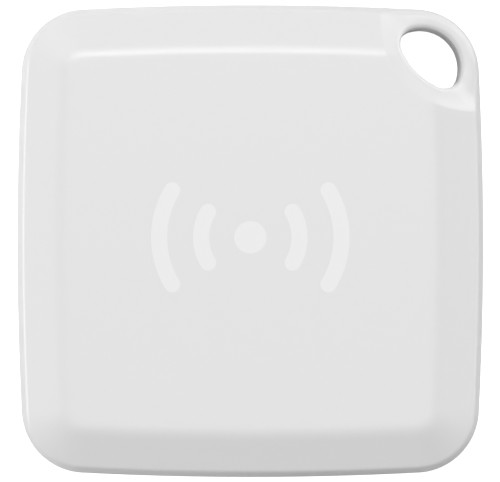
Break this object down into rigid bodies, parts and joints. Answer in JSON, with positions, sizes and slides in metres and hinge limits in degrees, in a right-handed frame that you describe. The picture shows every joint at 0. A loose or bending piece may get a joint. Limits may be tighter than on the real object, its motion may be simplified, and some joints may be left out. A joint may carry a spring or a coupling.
{
  "type": "bluetooth tracker tag",
  "caption": "Flat square tracker tag with bowed sides, a raised square front and an oval keyring eye in one corner; its covers part for the coin cell.",
  "frame": {"origin": "centre of the rear face, which the tag lies on", "axes": "+Z is the normal of the front face; +Y is up when the front is read upright; +X is to the right, so the eye is in the +X +Y corner"},
  "size_m": [0.038, 0.0384, 0.008],
  "materials": {
    "shell": "fine satin moulding",
    "icon": "smooth satin",
    "seal": "soft silicone",
    "foam": "closed-cell foam",
    "board": "solder mask",
    "steel": "bright steel",
    "spring": "gold-flashed spring bronze",
    "chip": "moulded epoxy",
    "antenna": "fired ceramic with tinned ends",
    "capacitor": "fired ceramic with tinned ends",
    "resistor": "glazed ceramic with tinned ends",
    "ferrite": "ferrite",
    "brass": "rolled brass",
    "piezo": "silvered ceramic",
    "tape": "double-sided adhesive",
    "button": "moulded nylon",
    "cathode": "pressed powder",
    "separator": "non-woven",
    "lithium": "dull metal"
  },
  "bodies": {
    "rear_half": {"rear_cover": "shell", "seal_ring": "seal", "cell_cushion": "foam"},
    "front_half": {"front_cover": "shell", "front_icon": "icon", "circuit_board": "board", "board_screws": "steel", "bluetooth_chip": "chip", "main_crystal": "steel", "clock_crystal": "steel", "chip_antenna": "antenna", "capacitors": "capacitor", "resistors": "resistor", "boost_inductor": "ferrite", "driver_transistor": "chip", "sounder_plate": "brass", "sounder_ceramic": "piezo", "sounder_adhesive": "tape", "sounder_contacts": "spring", "switch_body": "chip", "switch_dome": "steel", "cell_contact_negative": "spring", "cell_contact_positive": "spring"},
    "coin_cell": {"cell_can": "steel", "cell_gasket": "seal", "cell_cap": "steel", "cell_cathode": "cathode", "cell_separator": "separator", "cell_anode": "lithium"},
    "switch_button": {"switch_plunger": "button"}
  },
  "joints": [
    {"name": "cover_lift", "type": "slide", "parent": "rear_half", "child": "front_half", "axis": [0, 0, 1], "range_m": [0, 0.012]},
    {"name": "cell_lift", "type": "slide", "parent": "rear_half", "child": "coin_cell", "axis": [0, 0, 1], "range_m": [0, 0.006]},
    {"name": "button_press", "type": "slide", "parent": "front_half", "child": "switch_button", "axis": [0, 0, -1], "range_m": [0, 0.00025], "stiffness_N_per_m": 6400, "springref_m": -0.0001, "deforming": ["switch_dome"]}
  ],
  "couplings": [
    {"joint": "cell_lift", "follows": "cover_lift", "ratio": 0.5}
  ]
}
